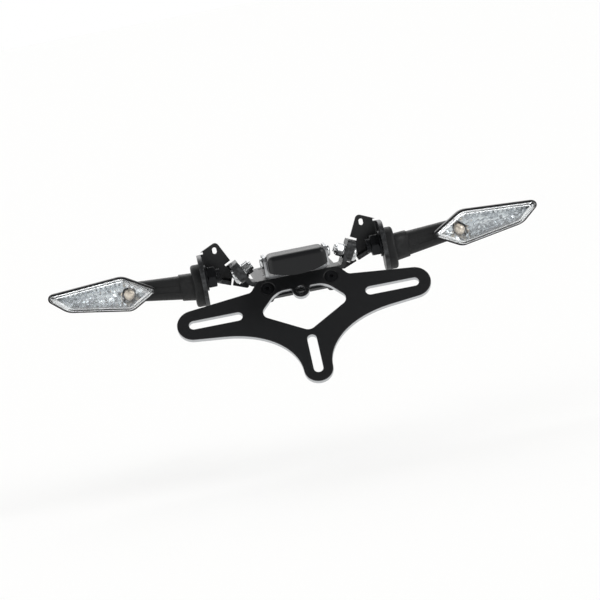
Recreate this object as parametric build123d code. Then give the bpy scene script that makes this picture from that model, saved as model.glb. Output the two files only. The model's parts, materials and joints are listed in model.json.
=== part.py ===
from build123d import *
import os
from math import cos, radians, sin, tan

# Tail tidy for a sport motorcycle, in millimetres and degrees.
# +X is right seen from behind, +Y forwards, +Z up.
# The origin is the centre of the four tail bolts, on the top face of the main bracket.

# Sheet stock
BRACKET_SHEET = 3.0
LIGHT_SHEET = 2.0
CARRIER_SHEET = 4.0
INSIDE_BEND = 2.0
BEND_RELIEF = 1.5
EDGE_BREAK = 0.4

# Fits
BOLT_CLEARANCE = 0.5
THREAD_GAP = 0.1
SEAT_GAP = 0.1

# Bolts, nuts and washers of one size for all brackets
BOLT_D = 5.0
BUTTON_HEAD_D = 9.5
BUTTON_HEAD_H = 2.75
COUNTERSUNK_HEAD_D = 9.2
COUNTERSUNK_RECESS = 0.2
BOLT_SOCKET = 3.0
SOCKET_DEPTH = 1.6
NUT_FLATS = 8.0
NUT_H = 4.5
WASHER_D = 10.0
WASHER_T = 1.0
BOLT_TAIL = 1.5

# Main bracket: deck, wings and rear flange
DECK_WIDTH = 56.0
DECK_FRONT = 46.0
DECK_CORNER = 10.0
MOUNT_SPACING_X = 38.0
MOUNT_SPACING_Y = 64.0
MOUNT_HOLE_D = 6.6
WIRE_SLOT_WIDTH = 16.0
WIRE_SLOT_LENGTH = 30.0
WING_ANGLE = 63.5
WING_CORNER_X = 33.0
WING_LENGTH = 32.0
WING_REACH = 19.5
WING_SETBACK = 5.0
WING_ROUND = 4.0
WING_BOLT_REACH = 11.0
WING_BOLT_REAR = 7.0
WING_BOLT_PITCH = 13.0
REAR_BEND_Y = -78.0
FLANGE_WIDTH = 54.0
FLANGE_REACH = 13.8
FLANGE_ROUND = 5.0

# Number-plate carrier, heights measured up its face from the line of the two slots
CARRIER_TILT = 35.0
SLOT_LINE_DROP = 25.7
CARRIER_SPAN = 176.0
ARM_END_RADIUS = 11.5
ARM_FLARE = 6.5
ARM_SLOT_LENGTH = 37.0
ARM_SLOT_MARGIN = 8.2
PLATE_SLOT_WIDTH = 6.5
CARRIER_TOP = 24.2
NECK_WIDTH = 56.0
NECK_SHOULDER = 6.0
NECK_ROUND = 4.0
SWEEP_START_X = 58.0
SWEEP_ARM_PULL = 32.0
SWEEP_TONGUE_PULL = 16.0
TONGUE_LENGTH = 61.5
TONGUE_WIDTH = 20.0
TONGUE_SLOT_TOP = 25.0
TONGUE_SLOT_LENGTH = 29.5
WINDOW_WIDTH = 63.0
WINDOW_TIP_DROP = 2.5
WINDOW_TOP = 13.2
WINDOW_TOP_WIDTH = 34.0
WINDOW_BOTTOM = 21.5
WINDOW_TIP_ROUND = 5.0
WINDOW_TOP_ROUND = 14.0
WINDOW_BOTTOM_ROUND = 6.0
TAB_RADIUS = 6.0
TAB_HEIGHT = 11.5
TAB_ROUND = 1.4
TAB_HOLE_D = 5.5
CARRIER_BOLT_X = 22.0
CARRIER_BOLT_HEIGHT = 16.9

# Indicator brackets, reaches measured along the wing from its outside corner
EAR_X = 65.0
EAR_APEX_REACH = 37.4
EAR_FOOT_REACH = -4.0
EAR_TOE_ROUND = 1.5
EAR_APEX_ROUND = 3.0
EAR_FLANGE_RADIUS = 15.5
EAR_FOOT_Z = 6.5
EAR_HOLE_OUT = 2.1
EAR_HOLE_DROP = 6.0
EAR_HOLE_WIDTH = 3.0
EAR_HOLE_HEIGHT = 4.6
TAB_LOW_REACH = 5.2
LIP_START = 15.0
LIP_LENGTH = 13.0
LIP_REACH = 6.6

# Indicator fixing, measured from the front face of the indicator bracket
STEM_OFFSET = 15.0
STEM_Z = 8.0
STEM_D = 10.0
STEM_BORE = 6.5
STEM_EMBED = 4.0
STEM_TAIL = 3.0
STEM_NUT_FLATS = 14.0
STEM_NUT_H = 6.0
STEM_WASHER_D = 18.0
STEM_WASHER_T = 1.5

# Indicator stalk
BASE_HEIGHT = 29.4
BASE_DEPTH = 26.0
BASE_T = 6.0
BASE_ROUND = 2.0
BASE_DROP = 4.3
COLLAR_LENGTH = 9.0
COLLAR_PROUD = 0.8
STALK_LENGTH = 23.5
STALK_EMBED = 21.0
STALK_ROOT_HEIGHT = 17.0
STALK_ROOT_DEPTH = 18.0
STALK_END_HEIGHT = 13.0
STALK_END_DEPTH = 15.0
STALK_RISE = 4.8
STALK_ROUND = 0.36

# Indicator lamp, outline corners measured from its inner tip
LAMP_LENGTH = 81.0
LAMP_TIP_RISE = 10.4
LAMP_BELLY_X = 20.5
LAMP_BELLY_DROP = 11.0
LAMP_BROW_X = 23.5
LAMP_BROW_RISE = 14.0
LAMP_HEEL_X = 64.5
LAMP_HEEL_DROP = 3.5
LAMP_INNER_ROUND = 2.8
LAMP_BELLY_ROUND = 9.0
LAMP_HEEL_ROUND = 14.0
LAMP_TIP_ROUND = 3.2
LAMP_BROW_ROUND = 12.0
LAMP_CENTRE_X = 34.0
LAMP_CENTRE_RISE = 3.0
LAMP_SECTIONS = 5
HOUSING_MOUTH = 24.0
HOUSING_NOSE = 12.0
HOUSING_NOSE_SCALE = 0.45
HOUSING_CURVE = 2.5
HOUSING_WALL = 2.0
SEAL_T = 1.0
SEAL_INSET = 0.6
SEAL_WIDTH = 1.9
LENS_INSET = 1.0
LENS_WALL = 1.8
LENS_RISE = 6.0
LENS_CROWN_SCALE = 0.92
LENS_CURVE = 3.0
DISH_WALL = 1.2
DISH_FLOOR_SCALE = 0.72
DISH_FLOOR_GAP = 1.2
BULB_X = 21.0
BULB_RISE = 0.5
BULB_D = 7.5
BULB_LENGTH = 10.0
HOLDER_D = 9.5
HOLDER_H = 3.5

# Plate light, between the cheeks of its bracket
LIGHT_WIDTH = 40.0
LIGHT_LENGTH = 34.0
LIGHT_FRONT_Y = -86.0
LIGHT_EDGE_Z = 7.3
LIGHT_TOP_Z = 18.5
LIGHT_ARCH = 4.0
LIGHT_ROUND = 4.0
LIGHT_RIM = 3.5
LIGHT_LEDGE = 1.5
LIGHT_LENS_T = 1.8
LIGHT_FRONT_BLOCK = 8.0
LIGHT_ROOF = 2.5
BOARD_T = 1.6
BOARD_MARGIN = 1.0
LED_SIZE = 5.0
LED_H = 1.4
LED_PITCH = 9.0
LED_COUNT = 3
CHEEK_TOP_Z = 17.5
CHEEK_REAR = 9.0
CHEEK_ROUND = 4.0
LIGHT_FLOOR_FRONT_Y = -46.0
LIGHT_FLOOR_REAR_Y = -73.0
LIGHT_BOLT_X = 11.0
LIGHT_SCREW_D = 4.0
LIGHT_SCREW_HEAD_D = 7.6
LIGHT_SCREW_HEAD_H = 2.2
LIGHT_SCREW_LENGTH = 7.0
LIGHT_SCREW_INSET = 4.0
LIGHT_SCREW_SOCKET = 2.5

# Overlap of a bend's strip with the flats on both sides of it
LAP = 1.0

# Places that follow from the sizes above
WING_FRONT_Y = REAR_BEND_Y + WING_SETBACK + WING_LENGTH
EAR_Y = WING_FRONT_Y
STEM_Y = EAR_Y - STEM_OFFSET
EAR_SHOULDER_Z = STEM_Z + EAR_FLANGE_RADIUS
BASE_Z = STEM_Z - BASE_DROP
ARM_SLOT_X = (CARRIER_SPAN - ARM_SLOT_LENGTH) / 2 - ARM_SLOT_MARGIN
BASE_END_X = EAR_X + BASE_T
LAMP_X = BASE_END_X + STALK_LENGTH
MOUTH_Y = STEM_Y - HOUSING_MOUTH
CAVITY_DEPTH = HOUSING_MOUTH - STALK_END_DEPTH / 2 - SEAT_GAP - HOUSING_WALL
CHEEK_X = LIGHT_WIDTH / 2 + SEAT_GAP + LIGHT_SHEET

WING_UP = (cos(radians(WING_ANGLE)), 0, sin(radians(WING_ANGLE)))
WING_OUT = (sin(radians(WING_ANGLE)), 0, -cos(radians(WING_ANGLE)))
CARRIER_PLANE = Plane(
    origin=(
        0,
        REAR_BEND_Y - SLOT_LINE_DROP * sin(radians(CARRIER_TILT)),
        -SLOT_LINE_DROP * cos(radians(CARRIER_TILT)),
    ),
    x_dir=(1, 0, 0),
    z_dir=(0, -cos(radians(CARRIER_TILT)), sin(radians(CARRIER_TILT))),
)


def write(name, *solids):
    """One STEP file for a node, which may be a group of like solids."""
    shape = solids[0] if len(solids) == 1 else Compound([s for p in solids for s in p.solids()])
    export_step(shape, f"parts/{name}.step")


def mirrored(part):
    """The left-hand twin of a right-hand piece."""
    return mirror(part, about=Plane.YZ)


def setback(turn, sheet):
    """Distance from a bend's outside corner to the start of the flat."""
    return (INSIDE_BEND + sheet) * tan(radians(turn) / 2)


def flange(corner, along, into, turn, span, plate, sheet, flat=0.0):
    """Flange folded from a flat sheet.

    The bend's outside edge starts at corner and runs span along the direction along.
    The direction into points into the flat, and plate is the flange's outline,
    u along the edge and v away from it.
    """
    along, into = Vector(*along), Vector(*into)
    up = along.cross(into)
    cosine, sine = cos(radians(turn)), sin(radians(turn))
    bend = setback(turn, sheet)
    reach = bend + LAP
    flat = max(flat, reach)
    profile = FilletPolyline(
        (flat, 0),
        (0, 0),
        (-reach * cosine, reach * sine),
        (-reach * cosine + sheet * sine, reach * sine + sheet * cosine),
        (sheet * tan(radians(turn) / 2), sheet),
        (flat, sheet),
        radius=[0, INSIDE_BEND + sheet, 0, 0, INSIDE_BEND, 0],
        close=True,
    )
    strip = extrude(Plane(corner, x_dir=into, z_dir=along) * make_face(profile), span)
    away = into * -cosine + up * sine
    face = Plane(corner, x_dir=along, z_dir=along.cross(away))
    return strip + extrude(face * plate, -sheet)


def corner_rect(u0, u1, v0, v1):
    """Rectangle between two opposite corners."""
    return Pos((u0 + u1) / 2, (v0 + v1) / 2) * Rectangle(u1 - u0, v1 - v0)


def tongue_rect(u0, u1, v0, v1, rounding):
    """Rectangle with its two far corners rounded."""
    outline = FilletPolyline(
        (u0, v0), (u1, v0), (u1, v1), (u0, v1), radius=[0, 0, rounding, rounding], close=True
    )
    return make_face(outline)


# Fasteners, with the head's seat at the local origin and the head towards local +Z


def hex_socket(flats, depth, top):
    """Cutter for a hexagon socket below a head's top."""
    return extrude(Pos(0, 0, top - depth) * RegularPolygon(flats / 2, 6, major_radius=False), 2 * depth)


def button_bolt(diameter, head_d, head_h, length, socket):
    """Domed socket bolt."""
    head = Pos(0, 0, head_h / 2) * Cylinder(head_d / 2, head_h)
    head = fillet(head.edges().group_by(Axis.Z)[-1], 0.7 * head_h)
    shank = Pos(0, 0, -length / 2) * Cylinder(diameter / 2, length)
    return head + shank - hex_socket(socket, min(SOCKET_DEPTH, 0.7 * head_h), head_h)


def countersunk_cone(diameter, head_d):
    """Cone of a countersunk head, its large end at the local origin."""
    depth = (head_d - diameter) / 2
    return Pos(0, 0, -depth / 2) * Cone(diameter / 2, head_d / 2, depth)


def countersunk_bolt(diameter, head_d, length, socket):
    """Flush socket bolt with a right-angled cone."""
    shank = Pos(0, 0, -length / 2) * Cylinder(diameter / 2, length)
    return shank + countersunk_cone(diameter, head_d) - hex_socket(socket, SOCKET_DEPTH, 0)


def washer(diameter, bore, thickness):
    """Plain washer standing on the local origin."""
    return extrude(Circle(diameter / 2) - Circle(bore / 2), thickness)


def hex_nut(flats, bore, height):
    """Nut with its corners turned off, standing on the local origin."""
    blank = extrude(RegularPolygon(flats / 2, 6, major_radius=False) - Circle(bore / 2), height)
    turned = Pos(0, 0, height / 2) * Cylinder(flats * 0.56, height)
    return blank & chamfer(turned.edges(), flats * 0.06)


# Main bracket


def wing_place(reach, back, layer):
    """Point beside the right wing: up its outer face, back from its rear end, out through the sheets."""
    corner = Vector(WING_CORNER_X, REAR_BEND_Y + WING_SETBACK + back, -BRACKET_SHEET)
    return corner + Vector(*WING_UP) * reach + Vector(*WING_OUT) * layer


def wing_bolt_places():
    """Distances of the two bolts forward of the wing's rear end."""
    return (WING_BOLT_REAR, WING_BOLT_REAR + WING_BOLT_PITCH)


def wing_bolt_holes():
    """Holes of the wing and of the tab on it, u forward and v up the wing."""
    hole = Circle((BOLT_D + BOLT_CLEARANCE) / 2)
    return [Pos(back, WING_BOLT_REACH) * hole for back in wing_bolt_places()]


def wing():
    """Right wing, turned up beside the tail."""
    bend = setback(WING_ANGLE, BRACKET_SHEET)
    plate = tongue_rect(0, WING_LENGTH, bend, WING_REACH, WING_ROUND)
    return flange(
        corner=wing_place(0, 0, 0),
        along=(0, 1, 0),
        into=(-1, 0, 0),
        turn=WING_ANGLE,
        span=WING_LENGTH,
        plate=plate - wing_bolt_holes(),
        sheet=BRACKET_SHEET,
        flat=WING_CORNER_X - DECK_WIDTH / 2 + LAP,
    )


def rear_flange():
    """Flange behind the carrier, turned down from the deck's rear edge."""
    turn = 90 - CARRIER_TILT
    plate = tongue_rect(0, FLANGE_WIDTH, setback(turn, BRACKET_SHEET), FLANGE_REACH, FLANGE_ROUND)
    hole = Circle((BOLT_D + BOLT_CLEARANCE) / 2)
    drop = SLOT_LINE_DROP - CARRIER_BOLT_HEIGHT
    holes = [Pos(FLANGE_WIDTH / 2 + side * CARRIER_BOLT_X, drop) * hole for side in (-1, 1)]
    return flange(
        corner=(FLANGE_WIDTH / 2, REAR_BEND_Y, 0),
        along=(-1, 0, 0),
        into=(0, 1, 0),
        turn=turn,
        span=FLANGE_WIDTH,
        plate=plate - holes,
        sheet=BRACKET_SHEET,
    )


def light_bolt_y():
    """Middle of the light bracket's floor."""
    return (LIGHT_FLOOR_FRONT_Y + LIGHT_FLOOR_REAR_Y) / 2


def main_bracket():
    """Deck with four tail bolt holes and a wire slot, wings and rear flange, from one sheet."""
    rear = REAR_BEND_Y + setback(90 - CARRIER_TILT, BRACKET_SHEET)
    deck = tongue_rect(-DECK_WIDTH / 2, DECK_WIDTH / 2, rear, DECK_FRONT, DECK_CORNER)
    deck -= GridLocations(MOUNT_SPACING_X, MOUNT_SPACING_Y, 2, 2) * Circle(MOUNT_HOLE_D / 2)
    deck -= SlotOverall(WIRE_SLOT_LENGTH, WIRE_SLOT_WIDTH, rotation=90)
    for side in (-1, 1):
        deck -= Pos(side * LIGHT_BOLT_X, light_bolt_y()) * Circle((BOLT_D + BOLT_CLEARANCE) / 2)
    plate = extrude(deck, -BRACKET_SHEET)
    return plate + wing() + mirrored(wing()) + rear_flange()


# Number-plate carrier


def carrier_half_outline():
    """Right half of the outline, from the foot of the tongue round to the top edge."""
    flare = radians(ARM_FLARE)
    end_x = CARRIER_SPAN / 2 - ARM_END_RADIUS
    low = (end_x + ARM_END_RADIUS * sin(flare), -ARM_END_RADIUS * cos(flare))
    high = (low[0], -low[1])
    tip = (CARRIER_SPAN / 2, 0)
    sweep = (SWEEP_START_X, low[1] - (low[0] - SWEEP_START_X) * tan(flare))
    half = TONGUE_WIDTH / 2
    foot_y = half - TONGUE_LENGTH
    shoulder_x = NECK_WIDTH / 2 + NECK_SHOULDER
    shoulder = (shoulder_x, high[1] + (high[0] - shoulder_x) * tan(flare))
    return [
        CenterArc((0, foot_y), half, -90, 90),
        Bezier(
            (half, foot_y),
            (half, foot_y + SWEEP_TONGUE_PULL),
            (sweep[0] - SWEEP_ARM_PULL * cos(flare), sweep[1] - SWEEP_ARM_PULL * sin(flare)),
            sweep,
        ),
        Line(sweep, low),
        ThreePointArc(low, tip, high),
        FilletPolyline(
            high, shoulder, (NECK_WIDTH / 2, CARRIER_TOP), (0, CARRIER_TOP), radius=NECK_ROUND
        ),
    ]


def carrier_window():
    """Window with a shield outline and a rounded tab hanging from its top edge."""
    tip = WINDOW_WIDTH / 2
    top = WINDOW_TOP_WIDTH / 2
    outline = FilletPolyline(
        (0, -WINDOW_BOTTOM),
        (tip, -WINDOW_TIP_DROP),
        (top, WINDOW_TOP),
        (-top, WINDOW_TOP),
        (-tip, -WINDOW_TIP_DROP),
        radius=[
            WINDOW_BOTTOM_ROUND,
            WINDOW_TIP_ROUND,
            WINDOW_TOP_ROUND,
            WINDOW_TOP_ROUND,
            WINDOW_TIP_ROUND,
        ],
        close=True,
    )
    tab = Pos(0, TAB_HEIGHT) * Circle(TAB_RADIUS)
    tab += corner_rect(-TAB_RADIUS, TAB_RADIUS, TAB_HEIGHT, WINDOW_TOP + TAB_RADIUS)
    window = make_face(outline) - tab
    corners = window.vertices().filter_by_position(Axis.Y, WINDOW_TOP - LAP / 2, WINDOW_TOP + LAP / 2)
    corners = corners.filter_by_position(Axis.X, -TAB_RADIUS - LAP / 2, TAB_RADIUS + LAP / 2)
    return fillet(corners, TAB_ROUND)


def plate_carrier():
    """Carrier cut from one sheet, two slotted arms and a slotted tongue."""
    right = carrier_half_outline()
    left = [mirror(edge, about=Plane.YZ) for edge in right]
    outline = make_face([edge for curve in right + left for edge in curve.edges()])
    outline -= carrier_window()
    outline -= Pos(0, TAB_HEIGHT) * Circle(TAB_HOLE_D / 2)
    for side in (-1, 1):
        outline -= Pos(side * ARM_SLOT_X, 0) * SlotOverall(ARM_SLOT_LENGTH, PLATE_SLOT_WIDTH)
        outline -= Pos(side * CARRIER_BOLT_X, CARRIER_BOLT_HEIGHT) * Circle((BOLT_D + BOLT_CLEARANCE) / 2)
    slot_y = -TONGUE_SLOT_TOP - TONGUE_SLOT_LENGTH / 2
    outline -= Pos(0, slot_y) * SlotOverall(TONGUE_SLOT_LENGTH, PLATE_SLOT_WIDTH, rotation=90)
    plate = extrude(outline, CARRIER_SHEET)
    rims = plate.faces().sort_by(Axis.Z)
    plate = chamfer(rims[0].edges() + rims[-1].edges(), EDGE_BREAK)
    cone_d = COUNTERSUNK_HEAD_D + BOLT_CLEARANCE + 2 * COUNTERSUNK_RECESS
    cone = countersunk_cone(BOLT_D + BOLT_CLEARANCE, cone_d)
    for side in (-1, 1):
        plate -= Pos(side * CARRIER_BOLT_X, CARRIER_BOLT_HEIGHT, CARRIER_SHEET) * cone
    return CARRIER_PLANE * plate


# Indicator brackets


def ear_point(reach):
    """Point (x, z) on the right wing's outer face, which the bracket's tab lies on."""
    return (WING_CORNER_X + reach * WING_UP[0], reach * WING_UP[2] - BRACKET_SHEET)


def indicator_bracket():
    """Right bracket: gable face turned back three times, at the wing, the foot and the indicator."""
    foot, apex = ear_point(EAR_FOOT_REACH), ear_point(EAR_APEX_REACH)
    heel, shoulder = (EAR_X, EAR_FOOT_Z), (EAR_X, EAR_SHOULDER_Z)
    bend = setback(90, BRACKET_SHEET)
    gable = make_face(
        FilletPolyline(
            foot, heel, shoulder, apex, radius=[EAR_TOE_ROUND, 0, 0, EAR_APEX_ROUND], close=True
        )
    )
    tie_hole = SlotOverall(EAR_HOLE_HEIGHT, EAR_HOLE_WIDTH, rotation=90)
    gable -= Pos(apex[0] + EAR_HOLE_OUT, apex[1] - EAR_HOLE_DROP) * tie_hole
    tab_span = WING_REACH - TAB_LOW_REACH
    tab_length = WING_FRONT_Y - REAR_BEND_Y - WING_SETBACK
    tab = tongue_rect(0, tab_span, bend, tab_length, WING_ROUND)
    hole = Circle((BOLT_D + BOLT_CLEARANCE) / 2)
    tab -= [Pos(WING_REACH - WING_BOLT_REACH, tab_length - back) * hole for back in wing_bolt_places()]
    stem_u = STEM_Z - EAR_FOOT_Z
    side = Pos(stem_u - BASE_DROP / 2, STEM_OFFSET) * SlotCenterToCenter(BASE_DROP, 2 * EAR_FLANGE_RADIUS)
    side += corner_rect(0, EAR_SHOULDER_Z - EAR_FOOT_Z, bend, STEM_OFFSET)
    side -= corner_rect(-2 * EAR_FLANGE_RADIUS, 2 * EAR_FLANGE_RADIUS, -2 * EAR_FLANGE_RADIUS, bend)
    side -= Pos(stem_u, STEM_OFFSET) * Circle((STEM_D + BOLT_CLEARANCE) / 2)
    lip = corner_rect(0, LIP_LENGTH, bend, LIP_REACH)
    slope = (Vector(*heel) - Vector(*foot)).normalized()
    lip_start = Vector(*foot) + slope * LIP_START
    folds = [
        (ear_point(WING_REACH), (-WING_UP[0], -WING_UP[2]), tab_span, tab),
        ((lip_start.X, lip_start.Y), (slope.X, slope.Y), LIP_LENGTH, lip),
        (heel, (0, 1), EAR_SHOULDER_Z - EAR_FOOT_Z, side),
    ]
    flanges = []
    for start, edge, span, plate in folds:
        frame = Plane((*start, 0), x_dir=(*edge, 0), z_dir=(0, 0, 1))
        gable -= frame * corner_rect(-BEND_RELIEF, span + BEND_RELIEF, -LAP, bend)
        flanges.append(
            flange(
                corner=(start[0], EAR_Y, start[1]),
                along=(edge[0], 0, edge[1]),
                into=(-edge[1], 0, edge[0]),
                turn=90,
                span=span,
                plate=plate,
                sheet=BRACKET_SHEET,
            )
        )
    face = extrude(Plane((0, EAR_Y, 0), x_dir=(1, 0, 0), z_dir=(0, -1, 0)) * gable, BRACKET_SHEET)
    return face + flanges


# Light bracket and plate light


def light_screw_y():
    """Line of the two screws through the cheeks."""
    return LIGHT_FRONT_Y - LIGHT_SCREW_INSET


def light_screw_z():
    """Height of the two screws, half way up the light's side."""
    return (LIGHT_EDGE_Z + LIGHT_TOP_Z) / 2


def cheek():
    """Right cheek, turned up from the floor and carried back beside the light."""
    bend = setback(90, LIGHT_SHEET)
    floor = LIGHT_FLOOR_FRONT_Y - LIGHT_FLOOR_REAR_Y
    tail = light_screw_y() - CHEEK_REAR - LIGHT_FLOOR_REAR_Y
    outline = make_face(
        FilletPolyline(
            (tail, bend),
            (floor, bend),
            (floor, bend + CHEEK_ROUND),
            (0, CHEEK_TOP_Z),
            (tail, CHEEK_TOP_Z),
            radius=[0, 0, 0, CHEEK_ROUND, CHEEK_ROUND],
            close=True,
        )
    )
    hole = Circle((LIGHT_SCREW_D + BOLT_CLEARANCE) / 2)
    return flange(
        corner=(CHEEK_X, LIGHT_FLOOR_REAR_Y, 0),
        along=(0, 1, 0),
        into=(-1, 0, 0),
        turn=90,
        span=floor,
        plate=outline - Pos(light_screw_y() - LIGHT_FLOOR_REAR_Y, light_screw_z()) * hole,
        sheet=LIGHT_SHEET,
    )


def light_bracket():
    """Floor on the deck with two cheeks, from one sheet."""
    half = CHEEK_X - setback(90, LIGHT_SHEET)
    floor = corner_rect(-half, half, LIGHT_FLOOR_REAR_Y, LIGHT_FLOOR_FRONT_Y)
    for side in (-1, 1):
        floor -= Pos(side * LIGHT_BOLT_X, light_bolt_y()) * Circle((BOLT_D + BOLT_CLEARANCE) / 2)
    return extrude(floor, LIGHT_SHEET) + cheek() + mirrored(cheek())


def light_section(lift):
    """Light's outline seen from behind, its arched underside raised by lift."""
    half = LIGHT_WIDTH / 2
    top = FilletPolyline(
        (half, LIGHT_EDGE_Z + lift),
        (half, LIGHT_TOP_Z),
        (-half, LIGHT_TOP_Z),
        (-half, LIGHT_EDGE_Z + lift),
        radius=LIGHT_ROUND,
    )
    arch = ThreePointArc(
        (-half, LIGHT_EDGE_Z + lift),
        (0, LIGHT_EDGE_Z - LIGHT_ARCH + lift),
        (half, LIGHT_EDGE_Z + lift),
    )
    return make_face([*top.edges(), *arch.edges()])


def light_prism(lift):
    """Light's outline carried through its whole length."""
    plane = Plane((0, LIGHT_FRONT_Y, 0), x_dir=(1, 0, 0), z_dir=(0, -1, 0))
    return extrude(plane * light_section(lift), LIGHT_LENGTH)


def light_well(shrink):
    """Upright block over the light's window, smaller by shrink on each side."""
    x = LIGHT_WIDTH / 2 - LIGHT_RIM - shrink
    front = LIGHT_FRONT_Y - LIGHT_FRONT_BLOCK - shrink
    rear = LIGHT_FRONT_Y - LIGHT_LENGTH + LIGHT_RIM + shrink
    return extrude(corner_rect(-x, x, rear, front), LIGHT_TOP_Z - LIGHT_ROOF)


def light_housing():
    """Arched housing, hollow from below, with a ledge for the lens and two screw holes."""
    body = light_prism(0)
    rear = body.edges().filter_by(Axis.X).group_by(Axis.Y)[0].sort_by(Axis.Z)[-1]
    body = fillet(rear, LIGHT_ROUND)
    body -= light_well(LIGHT_LEDGE)
    body -= light_well(0) - light_prism(LIGHT_LENS_T + SEAT_GAP)
    depth = LIGHT_SCREW_LENGTH - LIGHT_SHEET + LIGHT_SCREW_D / 4
    radius = LIGHT_SCREW_D / 2 + THREAD_GAP
    for side in (-1, 1):
        x = side * (LIGHT_WIDTH - depth) / 2
        body -= Pos(x, light_screw_y(), light_screw_z()) * Rot(0, 90, 0) * Cylinder(radius, depth)
    return body


def light_lens():
    """Clear arched window in the underside."""
    pane = light_prism(0) - light_prism(LIGHT_LENS_T)
    return pane & light_well(SEAT_GAP)


def light_board_top():
    """Roof of the light's hollow."""
    return LIGHT_TOP_Z - LIGHT_ROOF


def light_middle_y():
    """Middle of the light's hollow."""
    return LIGHT_FRONT_Y - (LIGHT_FRONT_BLOCK + LIGHT_LENGTH - LIGHT_RIM) / 2


def light_board():
    """Circuit board under the roof of the hollow."""
    width = LIGHT_WIDTH - 2 * (LIGHT_RIM + LIGHT_LEDGE + BOARD_MARGIN)
    length = LIGHT_LENGTH - LIGHT_RIM - LIGHT_FRONT_BLOCK - 2 * (LIGHT_LEDGE + BOARD_MARGIN)
    board = Rectangle(width, length)
    return Pos(0, light_middle_y(), light_board_top()) * extrude(board, -BOARD_T)


def light_leds():
    """Row of LEDs under the board."""
    top = Pos(0, light_middle_y(), light_board_top() - BOARD_T)
    led = extrude(RectangleRounded(LED_SIZE, LED_SIZE, LED_SIZE / 10), -LED_H)
    return [top * place * led for place in GridLocations(LED_PITCH, 1, LED_COUNT, 1)]


# Indicators


def lamp_outline(scale, inset):
    """Lamp's outline seen from behind, scaled about its centre, then drawn in by inset."""
    centre = Vector(LAMP_CENTRE_X, LAMP_CENTRE_RISE)
    corners = [
        Vector(0, 0),
        Vector(LAMP_BELLY_X, -LAMP_BELLY_DROP),
        Vector(LAMP_HEEL_X, -LAMP_HEEL_DROP),
        Vector(LAMP_LENGTH, LAMP_TIP_RISE),
        Vector(LAMP_BROW_X, LAMP_BROW_RISE),
    ]
    rounds = [LAMP_INNER_ROUND, LAMP_BELLY_ROUND, LAMP_HEEL_ROUND, LAMP_TIP_ROUND, LAMP_BROW_ROUND]
    points = [centre + (corner - centre) * scale for corner in corners]
    outline = make_face(FilletPolyline(*points, radius=[scale * r for r in rounds], close=True))
    return offset(outline, -inset) if inset else outline


def lamp_plane(back):
    """Plane of a lamp section, back behind the stem's axis."""
    return Plane((LAMP_X, STEM_Y - back, STEM_Z), x_dir=(1, 0, 0), z_dir=(0, -1, 0))


def narrowed(share, end_scale, curve):
    """Scale of a lamp section that narrows ever faster towards its end."""
    return 1 - (1 - end_scale) * share**curve


def lamp_shell(start, end, end_scale, curve, inset):
    """Smooth body from one distance behind the stem to another, narrowing to its end."""
    sections = []
    for i in range(LAMP_SECTIONS):
        share = i / (LAMP_SECTIONS - 1)
        scale = narrowed(share, end_scale, curve)
        sections.append(lamp_plane(start + (end - start) * share) * lamp_outline(scale, inset))
    return loft(sections)


def lamp_cone(start, end, end_scale, start_inset, end_inset):
    """Straight body between two scaled outlines."""
    sections = [lamp_plane(start) * lamp_outline(1, start_inset)]
    sections.append(lamp_plane(end) * lamp_outline(end_scale, end_inset))
    return loft(sections, ruled=True)


def stalk_neck(grow):
    """Stalk from its base into the housing, grown all round by grow."""
    start, end = BASE_END_X, LAMP_X + STALK_EMBED + grow
    sections = []
    for x, height, depth, rise in (
        (start, STALK_ROOT_HEIGHT, STALK_ROOT_DEPTH, 0),
        (end, STALK_END_HEIGHT, STALK_END_DEPTH, STALK_RISE),
    ):
        plane = Plane((x, STEM_Y, BASE_Z + rise), x_dir=(0, 1, 0), z_dir=(1, 0, 0))
        radius = STALK_ROUND * min(height, depth)
        sections.append(plane * RectangleRounded(depth + 2 * grow, height + 2 * grow, radius))
    return loft(sections, ruled=True)


def stem_plane(x, drop=0.0):
    """Plane across the stem's axis, facing the lamp, its origin drop below the axis."""
    return Plane((x, STEM_Y, STEM_Z - drop), x_dir=(0, 1, 0), z_dir=(1, 0, 0))


def indicator_stalk():
    """Stalk with an oval base against the bracket and a collar on the base, bored for the stem."""
    base = extrude(stem_plane(EAR_X, BASE_DROP) * Ellipse(BASE_DEPTH / 2, BASE_HEIGHT / 2), BASE_T)
    base = fillet(base.edges().group_by(Axis.X)[-1], BASE_ROUND)
    slab = extrude(stem_plane(BASE_END_X, BASE_DROP) * Rectangle(BASE_DEPTH, BASE_HEIGHT), COLLAR_LENGTH)
    collar = stalk_neck(COLLAR_PROUD) & slab
    collar = fillet(collar.edges().group_by(Axis.X)[-1], COLLAR_PROUD / 2)
    stalk = base + collar + stalk_neck(0)
    seat = Circle(STEM_D / 2 + THREAD_GAP)
    return stalk - extrude(stem_plane(EAR_X) * seat, STEM_EMBED)


def stem_back():
    """Length of the stem inwards from the bracket's outer face."""
    return BRACKET_SHEET + STEM_WASHER_T + STEM_NUT_H + STEM_TAIL


def indicator_stem():
    """Hollow threaded stem from the stalk's base through the bracket."""
    tube = Circle(STEM_D / 2) - Circle(STEM_BORE / 2)
    return extrude(stem_plane(EAR_X - stem_back()) * tube, stem_back() + STEM_EMBED)


def stem_washer():
    """Washer on the inner side of the bracket."""
    seat = Plane((EAR_X - BRACKET_SHEET, STEM_Y, STEM_Z), x_dir=(0, 1, 0), z_dir=(-1, 0, 0))
    return seat * washer(STEM_WASHER_D, STEM_D + BOLT_CLEARANCE, STEM_WASHER_T)


def stem_nut():
    """Nut on the washer."""
    x = EAR_X - BRACKET_SHEET - STEM_WASHER_T
    seat = Plane((x, STEM_Y, STEM_Z), x_dir=(0, 1, 0), z_dir=(-1, 0, 0))
    return seat * hex_nut(STEM_NUT_FLATS, STEM_D + 2 * THREAD_GAP, STEM_NUT_H)


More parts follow.
